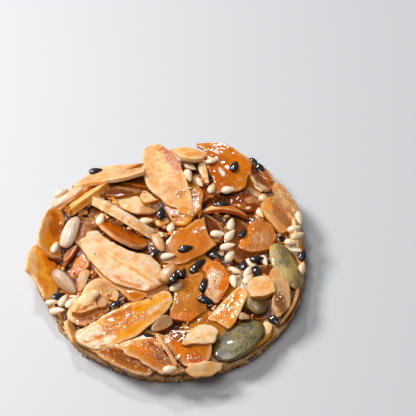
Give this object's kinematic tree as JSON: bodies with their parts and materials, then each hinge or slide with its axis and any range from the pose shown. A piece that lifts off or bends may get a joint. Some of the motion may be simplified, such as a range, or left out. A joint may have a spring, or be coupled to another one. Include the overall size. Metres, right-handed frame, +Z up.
{
  "type": "florentine biscuit",
  "caption": "Thin round florentine about 58 mm across: sliced almonds, sesame, pumpkin and sunflower seeds held in glossy caramel, with a flat underside and a low, slightly flared wall.",
  "frame": {"origin": "middle of the flat underside, which rests on the surface", "axes": "+Z up out of the seeded face, -Y towards the edge that is nearest in the picture"},
  "size_m": [0.0582, 0.0596, 0.0076],
  "materials": {
    "caramel": "glossy baked caramel",
    "almond": "toasted almond with a thin caramel glaze",
    "white_sesame": "toasted sesame, satin",
    "black_sesame": "black sesame with a caramel gloss",
    "pumpkin_seed": "olive green with a caramel gloss",
    "sunflower_seed": "streaked pale grey kernel, satin"
  },
  "bodies": {
    "root": {"florentine": "caramel"}
  },
  "joints": []
}
